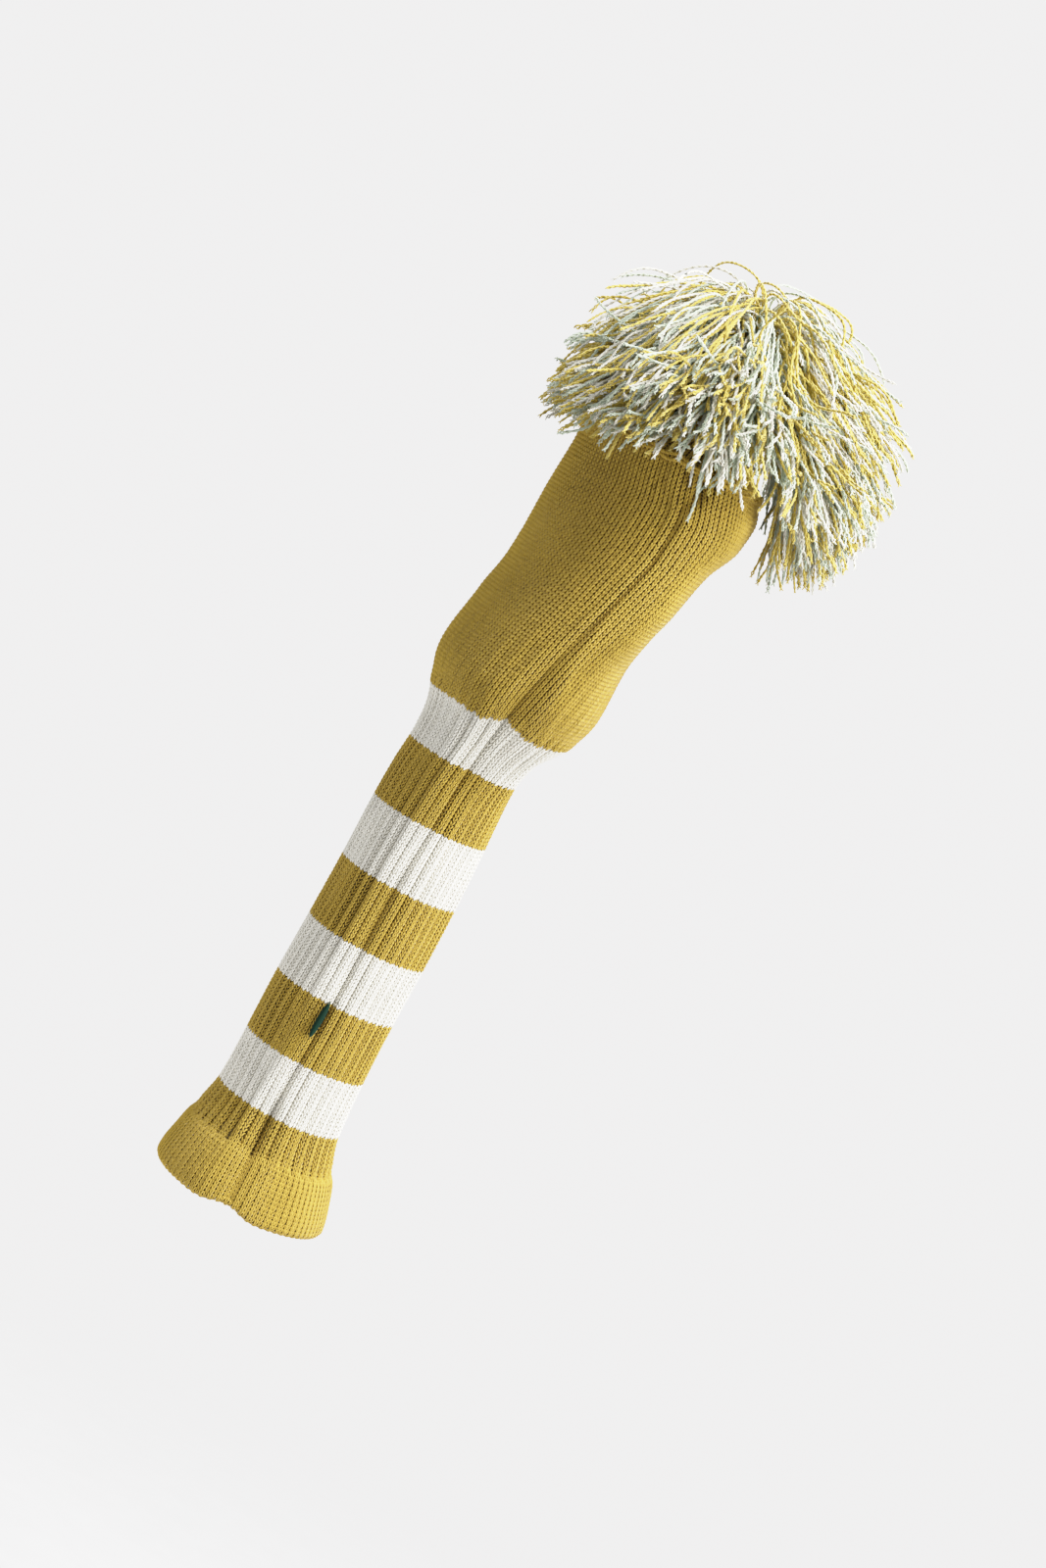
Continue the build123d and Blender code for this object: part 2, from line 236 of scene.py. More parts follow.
class Form:
    """The knitted surface as a table of points and normals, read at any column and any distance along."""

    def __init__(self):
        self.along = np.arange(FACING_END - COURSE, CROWN_END + COURSE, COURSE / 2)
        height, centre, width, depth, lean = (v[:, None] for v in form_rows(self.along))
        past = through(SEAM, "across", height) - centre - lean
        root = np.sqrt(np.maximum(width ** 2 - 4 * lean * past, 1))
        seam = np.arcsin(np.clip(2 * past / (width + root), -0.9, 0.9))
        turn = np.linspace(0, 2 * math.pi, ROUND_SAMPLES)[None, :] + seam
        x = self.across(turn, centre, width, lean)
        y = -depth * np.cos(turn)
        run = np.cumsum(np.hypot(np.diff(x), np.diff(y)), axis=1)
        run = np.hstack([np.zeros((len(run), 1)), run])
        self.columns = np.arange(WALES * FINE) / FINE
        even = self.columns / WALES
        angle = np.array([np.interp(even * r[-1], r, t) for r, t in zip(run, turn)])
        along = self.along[:, None] + 0 * angle
        x = self.across(angle, centre, width, lean)
        y = -depth * np.cos(angle)
        sag = np.cos(angle) * (HEM_RISE * np.exp(-((x + 2.7) / 8.0) ** 2) - HEM_SAG)
        sag = np.maximum(sag, -HEM_SAG) * (1 - step_up(np.abs(along), 0, 32))
        base = np.stack([x, y, height + sag], axis=2)
        out = self.normals(base, 4)
        sink = folds(x, along, height, np.cos(angle) > 0)
        slack = SLACK * waves(even * 300, along, 11, (45, 140)) * step_up(along, 4, 30)
        lift = relief(self.columns[None, :], along) - sink + slack
        self.points = base + out * lift[:, :, None]
        self.outward = self.normals(self.points, 6)
        self.under = base + out * (slack - sink)[:, :, None]
        self.plain = out
        self.spacing = np.linalg.norm(np.roll(base, -FINE // 2, 1) - np.roll(base, FINE // 2, 1), axis=2)

    @staticmethod
    def across(turn, centre, width, lean):
        return centre + width * np.sin(turn) + lean * np.maximum(np.cos(turn), 0) ** 2

    @staticmethod
    def normals(points, reach):
        round_it = np.roll(points, -reach, 1) - np.roll(points, reach, 1)
        up = np.gradient(points, axis=0)
        out = np.cross(round_it, up)
        return out / np.maximum(np.linalg.norm(out, axis=2, keepdims=True), 1e-9)

    def read(self, table, wale, along):
        column = (wale % WALES) * FINE
        row = np.clip((along - self.along[0]) / (COURSE / 2), 0, len(self.along) - 1.001)
        c0 = np.floor(column).astype(int)
        r0 = np.floor(row).astype(int)
        c1 = (c0 + 1) % len(self.columns)
        c0 = c0 % len(self.columns)
        u = (column - np.floor(column))[..., None]
        v = (row - r0)[..., None]
        return (table[r0, c0] * (1 - u) + table[r0, c1] * u) * (1 - v) \
            + (table[r0 + 1, c0] * (1 - u) + table[r0 + 1, c1] * u) * v

    def at(self, wale, along):
        point = self.read(self.points, wale, along)
        out = self.read(self.outward, wale, along)
        return point, out / np.linalg.norm(out, axis=-1, keepdims=True)

    def beneath(self, wale, along):
        """The form without its ribs, for what lies inside it."""
        point = self.read(self.under, wale, along)
        out = self.read(self.plain, wale, along)
        return point, out / np.linalg.norm(out, axis=-1, keepdims=True)


form = Form()

# ---------------------------------------------------------------- making meshes


def mesh_object(name, points, quads, material):
    """A smooth mesh of quads from points in millimetres."""
    mesh = bpy.data.meshes.new(name)
    mesh.vertices.add(len(points))
    mesh.vertices.foreach_set("co", (np.asarray(points, np.float32) * MM).ravel())
    mesh.loops.add(quads.size)
    mesh.loops.foreach_set("vertex_index", quads.astype(np.int32).ravel())
    mesh.polygons.add(len(quads))
    mesh.polygons.foreach_set("loop_start", np.arange(0, quads.size, 4, dtype=np.int32))
    mesh.update(calc_edges=True)
    mesh.polygons.foreach_set("use_smooth", np.full(len(quads), True))
    mesh.materials.append(material)
    made = bpy.data.objects.new(name, mesh)
    bpy.context.scene.collection.objects.link(made)
    return made


def grid_quads(rows, columns, closed=True):
    """Quads of a grid of rows and columns, joined round the columns if it is closed."""
    r = np.arange(rows - 1)[:, None]
    c = np.arange(columns if closed else columns - 1)[None, :]
    n = (c + 1) % columns
    corners = [r * columns + c, r * columns + n, (r + 1) * columns + n, (r + 1) * columns + c]
    return np.stack(corners, -1).reshape(-1, 4)


def tubes(lines, radii, out, sides):
    """Tubes round many lines at once. lines is (tubes, points, 3), and out is their outward side."""
    along = np.gradient(lines, axis=1)
    along /= np.maximum(np.linalg.norm(along, axis=2, keepdims=True), 1e-9)
    across = np.cross(along, out)
    across /= np.maximum(np.linalg.norm(across, axis=2, keepdims=True), 1e-9)
    facing = np.cross(across, along)
    turn = np.arange(sides) * 2 * math.pi / sides
    ring = np.cos(turn)[:, None] * across[:, :, None, :] + np.sin(turn)[:, None] * facing[:, :, None, :]
    points = lines[:, :, None, :] + ring * radii[:, :, None, None]
    count, rings = lines.shape[:2]
    quads = grid_quads(rings, sides)[None, :, :] + (np.arange(count) * rings * sides)[:, None, None]
    return points.reshape(-1, 3), quads.reshape(-1, 4)


# ---------------------------------------------------------------- materials


def new_material(name):
    material = bpy.data.materials.new(name)
    material.use_nodes = True
    tree = material.node_tree
    shader = tree.nodes["Principled BSDF"]
    return material, tree, shader


def node(tree, kind, **values):
    made = tree.nodes.new(kind)
    for key, value in values.items():
        if key in made.inputs:
            made.inputs[key].default_value = value
        else:
            setattr(made, key, value)
    return made


def noise(tree, scale, detail=3.0, roughness=0.6):
    """Noise over the object's own coordinates, with scale in features per metre."""
    place = tree.nodes.get("Texture Coordinate") or tree.nodes.new("ShaderNodeTexCoord")
    made = node(tree, "ShaderNodeTexNoise", Scale=scale, Detail=detail, Roughness=roughness)
    tree.links.new(place.outputs["Object"], made.inputs["Vector"])
    return made.outputs["Fac"]


def mixed(tree, factor, first, second):
    made = tree.nodes.new("ShaderNodeMix")
    made.data_type = "RGBA"
    tree.links.new(factor, made.inputs[0])
    for socket, value in ((made.inputs[6], first), (made.inputs[7], second)):
        if isinstance(value, tuple):
            socket.default_value = (*value, 1)
        else:
            tree.links.new(value, socket)
    return made.outputs[2]


def ramp(tree, value, low, high):
    made = node(tree, "ShaderNodeMapRange")
    made.inputs["From Min"].default_value = low
    made.inputs["From Max"].default_value = high
    tree.links.new(value, made.inputs["Value"])
    return made.outputs["Result"]


def scaled(colour, factor):
    return tuple(min(1.0, c * factor) for c in colour)


def yarn(name, colour, shade=0.62, light=1.25, sheen=0.35, fibre=0.25, glow=0.0):
    """Soft plied yarn: tone that drifts over centimetres, mottling over a millimetre, and fibres as bump."""
    material, tree, shader = new_material(name)
    drift = ramp(tree, noise(tree, 55, 2), 0.3, 0.7)
    mottle = ramp(tree, noise(tree, 900, 3), 0.3, 0.7)
    fine = noise(tree, 3800, 2, 0.7)
    tone = mixed(tree, drift, scaled(colour, 0.9), scaled(colour, 1.1))
    dark = mixed(tree, drift, scaled(colour, shade), scaled(colour, shade * 1.15))
    pale = mixed(tree, mottle, dark, scaled(colour, light))
    half = mixed(tree, ramp(tree, fine, 0.3, 0.7), pale, tone)
    tree.links.new(half, shader.inputs["Base Color"])
    rough = node(tree, "ShaderNodeMapRange")
    rough.inputs["To Min"].default_value = 0.78
    rough.inputs["To Max"].default_value = 0.98
    tree.links.new(mottle, rough.inputs["Value"])
    tree.links.new(rough.outputs["Result"], shader.inputs["Roughness"])
    shader.inputs["Sheen Weight"].default_value = sheen
    shader.inputs["Sheen Roughness"].default_value = 0.45
    shader.inputs["Sheen Tint"].default_value = (*(0.5 + 0.5 * c / max(colour) for c in colour), 1)
    shader.inputs["Subsurface Weight"].default_value = glow
    shader.inputs["Subsurface Scale"].default_value = 0.0012
    shader.inputs["Subsurface Radius"].default_value = (1.0, 0.95, 0.85)
    shader.inputs["Specular IOR Level"].default_value = 0.2
    bump = node(tree, "ShaderNodeBump", Strength=fibre, Distance=0.0002)
    tree.links.new(fine, bump.inputs["Height"])
    tree.links.new(bump.outputs["Normal"], shader.inputs["Normal"])
    return material


OCHRE = (0.43, 0.28, 0.038)
WHITE = (0.83, 0.80, 0.71)
ochre_knit = yarn("ochre_knit", OCHRE)
white_knit = yarn("white_knit", WHITE, shade=0.85, light=1.06)
# The ochre ground is the ochre yarn at 0.15 of its brightness: painted shade for the gaps between the
# stitches, and for the seam's edges and the button, which lie in shadow.
ochre_ground_painted_shade = yarn("ochre_ground_painted_shade", scaled(OCHRE, 0.15))
# The white ground is the white yarn at 0.85 of its brightness: painted shade for the gaps between the
# stitches.
white_ground_painted_shade = yarn("white_ground_painted_shade", scaled(WHITE, 0.85), shade=0.85, light=1.05)
ochre_yarn = yarn("ochre_yarn", (0.55, 0.41, 0.075), shade=0.75, light=1.2, glow=0.3)
white_yarn = yarn("white_yarn", (0.70, 0.68, 0.57), shade=0.88, light=1.05, glow=0.3)
sage_yarn = yarn("sage_yarn", (0.50, 0.57, 0.44), shade=0.85, light=1.1, glow=0.3)
lining_cloth = yarn("lining_cloth", (0.42, 0.33, 0.15), fibre=0.15)
elastic_tape = yarn("elastic_tape", (0.72, 0.70, 0.64), fibre=0.4)
label_ribbon = yarn("label_ribbon", (0.001, 0.018, 0.009), shade=0.5, light=1.4, sheen=0.0)
YARNS = {"ochre": ochre_yarn, "white": white_yarn, "sage": sage_yarn}

# ---------------------------------------------------------------- stitches

# The knitted regions: CAD node, colour, where each starts and ends along the fabric, and how many pieces
Region = namedtuple("Region", "node colour start end pieces")
STEPS = {"head_pocket": 1.3}      # length of the backing's rows where the usual step would be too fine
REGIONS = [
    Region("cuff_facing", "ochre", FACING_END, FOLD_BACK, 1),
    Region("cuff_outer", "ochre", FOLD_BACK, CUFF_TOP, 2),
    Region("neck_white_lower", "white", CUFF_TOP, 69.5, 1),
    Region("neck_ochre_lower", "ochre", 69.5, 99.0, 1),
    Region("neck_white_middle", "white", 99.0, 127.0, 1),
    Region("neck_ochre_middle", "ochre", 127.0, 157.5, 1),
    Region("neck_white_upper", "white", 157.5, 188.0, 1),
    Region("neck_ochre_upper", "ochre", 188.0, 218.5, 1),
    Region("shoulder_white", "white", 218.5, 243.5, 1),
    Region("head_pocket", "ochre", 243.5, CROWN_END - 2, 6),
]
LEG_POINTS = 4
LEG_SIDES = 5
LEG_RADIUS = 0.188               # of one leg of a stitch, as a share of its column's width
LEG_START = 0.05                 # how far each leg starts from the column's middle, in columns
LEG_LEAN = 0.30                  # how far it leans out, in columns
LEG_RISE = 0.56                  # half its height, in courses
BEND = 0.3                       # how far the rows of stitches bend over each rib
GROUND_DEPTH = 1.0
FABRIC = 2.3


def wale_places(along):
    """Centres of the columns. In ribbing the sunk column is narrow, so the other three spread."""
    wale = np.arange(WALES)
    squeeze = np.where(wale % RIB == 1, -0.22, np.where(wale % RIB == 3, 0.22, 0.0))
    return wale + squeeze * ribbing(along)[:, None]


def stitches(name, start, end, pitch, material, seed):
    """Every stitch between two distances along the fabric, as two leaning legs of yarn."""
    rng = np.random.default_rng(seed)
    courses = np.arange(start + pitch / 2, end, pitch)
    wale = wale_places(courses)
    course = courses[:, None] + 0 * wale
    wale = wale + rng.normal(0, 0.025, wale.shape)
    bend = BEND * np.cos(2 * math.pi * wale / RIB) * ribbing(course)
    course = course + rng.normal(0, 0.06, wale.shape) + bend
    t = np.linspace(0, 1, LEG_POINTS)
    bow = np.sin(math.pi * t)
    lines = []
    thick = []
    facing = []
    gap = form.read(form.spacing[:, :, None], wale, course)[..., 0]
    wide = 1 + 0.25 * ribbing(course) * np.where(np.arange(WALES) % RIB == 0, -1, 1)
    spread = wide[..., None]
    dense = 1 - step_up(course, HEM_LINE - 2, HEM_LINE + 2)
    radius = np.clip((LEG_RADIUS + 0.012 * ribbing(course)) * gap * wide * (1 + 0.06 * dense), 0.14, 0.62)
    radius = radius * rng.normal(1, 0.05, wale.shape)
    for side in (-1, 1):
        w = wale[..., None] + side * (LEG_START + (LEG_LEAN + 0.03 * dense[..., None]) * t) * spread
        s = course[..., None] + COURSE * (LEG_RISE + 0.12 * dense[..., None]) * (2 * t - 1)
        point, out = form.at(w, s)
        lift = radius[..., None] * (0.8 * bow * (1 - 0.3 * dense[..., None]) - 0.4 + 0.25 * t)
        lines.append((point + out * lift[..., None]).reshape(-1, LEG_POINTS, 3))
        thick.append((radius[..., None] * (0.62 + 0.38 * bow)).reshape(-1, LEG_POINTS))
        facing.append(out.reshape(-1, LEG_POINTS, 3))
    points, quads = tubes(np.concatenate(lines), np.concatenate(thick), np.concatenate(facing), LEG_SIDES)
    return mesh_object(name, points, quads, material)


def wall(name, start, end, outer, inner, material, place=form.at, wales=(0, WALES), step=COURSE / 2):
    """A closed layer of the tube between two depths, with a knitted back's small bumps on its inner face."""
    rows = np.append(np.arange(start, end - step / 4, step), end)
    closed = wales[1] - wales[0] >= WALES
    wale = np.arange(wales[0], wales[1] + (0 if closed else 0.25), 0.5)
    w, s = np.meshgrid(wale, rows)
    point, out = place(w, s)
    bumps = 0.12 * (np.arange(len(rows))[:, None] % 2 + np.arange(len(wale))[None, :] % 2)
    front = point + out * outer
    back = point + out * (inner + bumps)[:, :, None]
    loop = np.concatenate([front, back[::-1], front[:1]])
    return mesh_object(name, loop.reshape(-1, 3), grid_quads(len(loop), len(wale), closed), material)


def knit(region, seed):
    made = []
    bounds = np.linspace(region.start, region.end, region.pieces + 1)
    pitch = (region.end - region.start) / round((region.end - region.start) / COURSE)
    courses = np.round((bounds - region.start) / pitch) * pitch + region.start
    look = {"ochre": ochre_knit, "white": white_knit}[region.colour]
    # The ground behind the stitches is a darker copy of the yarn: painted shade for the gaps between them.
    back = {"ochre": ochre_ground_painted_shade, "white": white_ground_painted_shade}[region.colour]
    for index, (start, end) in enumerate(zip(courses, courses[1:])):
        made.append(stitches(f"{region.node}_stitches_{index + 1}", start, end, pitch, look, seed + index))
    made.append(wall(f"{region.node}_ground", region.start, region.end, -GROUND_DEPTH, -FABRIC, back,
                     step=STEPS.get(region.node, COURSE / 2)))
    for piece in made:
        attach(piece, "cover")
        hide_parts(region.node)


for number, region in enumerate(REGIONS):
    knit(region, 100 + 10 * number)

# ---------------------------------------------------------------- sewn parts

ELASTIC_HEIGHTS = (84.25, 142.25, 203.25)
ELASTIC_WIDTH = 6.0
ELASTIC_DEPTHS = (-2.5, -3.4)
LINING_START = 250.0
LINING_END = CROWN_END - 12
LINING_DEPTHS = (-4.4, -5.4)
SEAM_START = 30.0
SEAM_END = 372.0
SEAM_DEPTH = 3.1
OVERLOCK_REACH = 0.75
HEM_THREAD_REACH = 0.75          # half the width of a hem thread, in columns
HEM_THREAD_POINTS = 9
KNOT = np.array([25.0, 0.0, 410.0])
CORD_SIDES = 6


def joined(name, parts, material):
    """One mesh from several (points, quads) pairs."""
    shift = np.cumsum([0] + [len(points) for points, _ in parts[:-1]])
    quads = np.concatenate([q + n for (_, q), n in zip(parts, shift)])
    return mesh_object(name, np.concatenate([points for points, _ in parts]), quads, material)


def placed(piece, body, slot, *nodes):
    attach(piece, body)
    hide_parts(*nodes)


def cord_along(line, radius, seed, turn=3.2):
    """Two plies twisted along a line of points."""
    rng = np.random.default_rng(seed)
    along = np.gradient(line, axis=0)
    run = np.cumsum(np.linalg.norm(along, axis=1))
    along /= np.linalg.norm(along, axis=1, keepdims=True)
    aside = np.cross(along, np.array([0.3, 0.5, 0.81]))
    aside /= np.linalg.norm(aside, axis=1, keepdims=True)
    facing = np.cross(along, aside)
    angle = 2 * math.pi * run / turn + rng.uniform(0, 6)
    swing = [np.cos(angle + h)[:, None] * aside + np.sin(angle + h)[:, None] * facing for h in (0, math.pi)]
    lines = np.stack([line + 0.5 * radius * way for way in swing])
    return tubes(lines, np.full(lines.shape[:2], 0.52 * radius), np.stack([facing, facing]), CORD_SIDES)


def winding(centre, radius, turns, thick, seed):
    """Yarn wound into a ball."""
    t = np.linspace(0, 1, turns * 26)
    turn = 2 * math.pi * turns * t
    tilt = 2 * math.pi * t * 3.3 + seed
    lean = 1.25 * np.sin(math.pi * t * 5.1 + seed)
    x = np.cos(turn)
    y = np.sin(turn) * np.cos(lean)
    z = np.sin(turn) * np.sin(lean)
    ball = np.stack([x * np.cos(tilt) - y * np.sin(tilt), x * np.sin(tilt) + y * np.cos(tilt), z], 1)
    return cord_along(centre + ball * radius * (1 + 0.03 * np.sin(17 * t))[:, None], thick, seed)


def ring(centre, radius, thick, seed, wobble=0.25):
    turn = np.linspace(0, 2 * math.pi, 181)
    lift = wobble * np.sin(3 * turn + seed)
    line = np.stack([radius * np.cos(turn), radius * np.sin(turn), lift], 1)
    return cord_along(centre + line, thick, seed)


def neck_elastics():
    """Three tapes round the inside of the neck, each open where the side seam runs."""
    for number, height in enumerate(ELASTIC_HEIGHTS):
        start = height - ELASTIC_WIDTH / 2
        band = wall(f"elastic_{number + 1}", start, start + ELASTIC_WIDTH, *ELASTIC_DEPTHS, elastic_tape,
                    wales=(1, WALES - 1))
        placed(band, "cover", "elastic", "neck_elastics")


def lining():
    cloth = wall("lining", LINING_START, LINING_END, *LINING_DEPTHS, lining_cloth, form.beneath, step=1.5)
    placed(cloth, "cover", "lining_cloth", "head_lining")


def side_seam():
    """The two edges of fabric inside the seam, and the overlock thread that loops over them."""
    run = np.arange(SEAM_START, SEAM_END, 1.2)
    for side in (-0.35, 0.35):
        point, out = form.at(side + 0 * run, run)
        lap = cord_along(point - out * SEAM_DEPTH, 0.9, 3, turn=7.0)
        # The seam's edges inside the tube take the dark ochre ground: painted shade.
        piece = mesh_object(f"seam_edge_{'left' if side < 0 else 'right'}", *lap, ochre_ground_painted_shade)
        placed(piece, "cover", "ochre_knit", "side_seam")
    over = np.arange(SEAM_START + 1, SEAM_END - 1, 0.35)
    point, out = form.at(OVERLOCK_REACH * np.sin(over * math.pi / 1.6), over)
    lines = point - out * (3.6 + OVERLOCK_REACH * np.cos(over * math.pi / 0.8))[:, None]
    thread = tubes(lines[None], np.full((1, len(over)), 0.22), out[None], 5)
    placed(mesh_object("seam_overlock", *thread, ochre_knit), "cover", "ochre_thread", "side_seam")


def hem_threads():
    """A short thread across each furrow, where the hem is sewn to its facing."""
    across = np.linspace(-HEM_THREAD_REACH, HEM_THREAD_REACH, HEM_THREAD_POINTS)
    lines = []
    facing = []
    for furrow in range(0, WALES, RIB):
        point, out = form.at(furrow + across, HEM_LINE + 0.25 * np.sin(furrow * 1.7) + 0 * across)
        lines.append(point + out * (0.35 - 1.2 * (across / HEM_THREAD_REACH) ** 4)[:, None])
        facing.append(out)
    threads = tubes(np.stack(lines), np.full((len(lines), HEM_THREAD_POINTS), 0.3), np.stack(facing), 6)
    placed(mesh_object("hem_threads", *threads, ochre_knit), "cover", "ochre_thread", "hem_stitches")


def crown():
    """The rolled rim's two cords, the cord that gathers the crown, and the button that the tie is sewn to."""
    turn = np.linspace(0, WALES, 900)
    lips = []
    for number, (rise, out_by) in enumerate(((0.5, 0.55), (2.3, 0.85))):
        point, out = form.at(turn, RIM_START + rise + 0.5 * np.sin(turn * 0.9 + number))
        lift = out_by + 0.25 * np.sin(turn * 0.5 + number)
        lips.append(cord_along(point + out * lift[:, None], 0.95, number))
    placed(joined("rim_cords", lips, ochre_knit), "cover", "ochre_knit", "crown_rolled_edge")
    gather = ring(KNOT - (0, 0, 1.2), 5.4, 0.65, 1, wobble=0.1)
    placed(mesh_object("gather_cord", *gather, ochre_knit), "cover", "ochre_thread", "crown_gather_cord")
    washer = [winding(KNOT - (0, 0, 6.0), 0.5, 6, 0.9, 2)]
    for number in range(8):
        washer.append(ring(KNOT - (0, 0, 5.4), 0.9 + 0.9 * number, 1.0, number, wobble=0.15))
    rise = np.linspace(0, 1, 30)[:, None]
    stem = KNOT - (0, 0, 5.5) + rise * (0, 0, 2.0) + 0.2 * np.sin(9 * rise) * (1, 0, 0)
    washer.append(cord_along(stem, 1.2, 4))
    # The button under the pom-pom takes the dark ochre ground: painted shade.
    placed(joined("anchor_button", washer, ochre_ground_painted_shade), "cover", "ochre_thread", "tie_anchor")


def pom_core():
    """The tie's knot, the pom-pom's wound heart and the two hoops that bind it."""
    knot = winding(KNOT, 2.35, 11, 0.75, 5)
    placed(mesh_object("tie_knot", *knot, white_yarn), "tie", "white_yarn", "pom_tie")
    heart = winding(CORE, 10.6, 60, 1.4, 6)
    placed(mesh_object("pom_heart", *heart, white_yarn), "pom", "white_yarn", "pom_core")
    hoops = [ring(CORE - (0, 0, 5.2 + 0.8 * n), 11.6 - 0.35 * n, 0.75, n) for n in range(2)]
    placed(joined("pom_hoops", hoops, white_yarn), "pom", "white_yarn", "pom_binding")


# The label: a short ribbon folded in two, sewn into a furrow of the neck and seen on its edge
LABEL_LOW = 83.0
LABEL_TALL = 17.5
LABEL_REACH = 8.6
LABEL_ACROSS = -4.7
LABEL_ROOT = -38.4
LABEL_CLOTH = 0.45
LABEL_BULGE = 1.8                # how far each half stands off the middle
LABEL_LEAN = 0.6
LABEL_ROWS = 90
LABEL_COLUMNS = 61


def label():
    up = np.linspace(0, 1, LABEL_ROWS)[:, None]
    round_it = np.linspace(-1, 1, LABEL_COLUMNS)[None, :]
    reach = 1 - np.abs(round_it) ** 2.4
    bulge = LABEL_BULGE * np.sin(math.pi * np.clip(up * 0.96 + 0.02, 0, 1)) ** 0.4
    side = np.sign(round_it) * (1 - (1 - np.abs(round_it)) ** 2) * np.cos(1.25 * np.abs(round_it) ** 3)
    warp = np.cos(math.pi * np.arange(LABEL_ROWS))[:, None]
    weave = 0.05 * warp * np.cos(math.pi * np.arange(LABEL_COLUMNS))[None, :]
    lean = LABEL_LEAN * (up - 0.5)
    sides = []
    for depth in (0.0, LABEL_CLOTH):
        spread = (bulge - depth) * side + np.sign(side) * weave * (depth == 0)
        x = LABEL_ACROSS + lean + spread
        y = LABEL_ROOT - (LABEL_REACH - depth) * reach + 0 * up
        z = LABEL_LOW + LABEL_TALL * up + 0.5 * reach * (1 - 2 * up)
        sides.append(np.stack([x, y, z], -1))
    loop = np.concatenate([sides[0], sides[1][::-1], sides[0][:1]])
    quads = grid_quads(len(loop), LABEL_COLUMNS, False)
    ribbon = mesh_object("label_ribbon", loop.reshape(-1, 3), quads, label_ribbon)
    placed(ribbon, "label", "label_ribbon", "side_label")


# ---------------------------------------------------------------- the pom-pom

CORE = np.array([29.0, 0.0, 424.5])
DOWN = np.array([0.471, 0.0, -0.882])   # the way the strands hang: the cover leans over to its right
ASIDE = np.array([0.882, 0.0, 0.471])   # level, to the side that the crown doesn't reach under
CORE_RADIUS = 11.0
CROWN_TOP = 408.0
STRANDS = 3000
STRAND_POINTS = 42
STRAND_LENGTH = 82.0
LENGTH_SPREAD = 3.0
LONGER_RIGHT = 8.0               # how much longer the strands toward the right are
SHORTER_ACROSS = 12.0            # how much shorter the strands toward the front and back are
LONGER_LEFT = 12.0               # how much longer those at the front left are
STIFF_ROOT = 16.0                # length that the tie holds straight out
STRAY_SHARE = 0.04
STRAY_CURL = 2.6                 # how much more a stray curls than the rest
CURL = 0.006
PLY_RADIUS = 0.46
PLY_TURN = 5.5                   # length of one turn of the two plies
PLY_SIDES = 3
LOWEST_START = -0.42
LOCKS = 190
# What holds the pom-pom's outline round on each axis: the ends of the free part, and the room past them
Squeeze = namedtuple("Squeeze", "low high room")
OUTLINE = [Squeeze(-62.0, 66.0, 20.0), Squeeze(-66.0, 66.0, 18.0), Squeeze(-200.0, 34.0, 16.0)]


def cover_shape(point):
    """How far points are outside the cover, by its oval sections, with the crown as a shallow cone."""
    z = np.clip(point[..., 2], 0, CROWN_TOP)
    side = np.minimum(z, OVALS[-1].height)
    top = step_up(z, OVALS[-1].height, CROWN_TOP + 6)
    centre = through(OVALS, "centre", side) * (1 - top) + CROWN_CENTRE * top
    width = through(OVALS, "half_width", side) * (1 - top) + 4 * top
    depth = through(OVALS, "half_depth", side) * (1 - top) + 4 * top
    across = (point[..., 0] - centre) / width
    deep = point[..., 1] / depth
    return (np.hypot(across, deep) - 1) * width


def push_off(point, gap):
    """Moves points that are nearer the cover than gap out to it."""
    delta = 0.5
    here = cover_shape(point)
    slope = np.stack([cover_shape(point + delta * axis) - here for axis in np.eye(3)], -1) / delta
    size = np.maximum(np.linalg.norm(slope, axis=-1, keepdims=True), 0.3)
    lack = np.maximum(gap - here / size[..., 0], 0)
    lack = np.where(point[..., 2] > CROWN_TOP + gap, 0, np.minimum(lack, 2.5))
    return point + slope / size * lack[..., None]


def start_ways(count, rng):
    """Directions spread evenly over the ball, without the part that faces the crown."""
    rise = LOWEST_START + (1 - LOWEST_START) * (np.arange(count) + 0.5) / count
    turn = np.arange(count) * math.pi * (3 - math.sqrt(5))
    flat = np.sqrt(1 - rise ** 2)
    way = np.stack([flat * np.cos(turn), flat * np.sin(turn), rise], 1) + rng.normal(0, 0.06, (count, 3))
    way[:, 2] = np.maximum(way[:, 2], LOWEST_START + 0.28 * way[:, 1] ** 2)
    return way / np.linalg.norm(way, axis=1, keepdims=True)


def left_front(way):
    """How far a strand starts toward the front left, where the pom-pom hangs lowest over the pocket."""
    return np.maximum(-way[:, 1], 0) * step_up(-(way @ ASIDE), -0.3, 0.2)


def resting(way):
    """For each strand, the way it would settle and how fast it turns to it, per mm."""
    right = way @ ASIDE
    high = -(way @ DOWN)
    free = step_up(right + 0.25 * high + 0.12 * np.sin(9 * way[:, 0] + 14 * way[:, 1]), 0.2, 0.52)[:, None]
    level = way - DOWN * (way @ DOWN)[:, None]
    level = level - 0.5 * ASIDE
    level /= np.linalg.norm(level, axis=1, keepdims=True)
    front = np.maximum(-way[:, 1:2], 0)
    held = level + (0.62 - 0.34 * way[:, 1:2] ** 2 + 1.05 * left_front(way)[:, None]) * DOWN
    fallen = DOWN + (0.04 + 0.6 * front ** 1.5) * ASIDE
    bend = (0.019 + 0.036 * step_up(high, 0.05, 0.75)) * (1 - free[:, 0]) + 0.078 * free[:, 0]
    return held * (1 - free) + fallen * free, bend


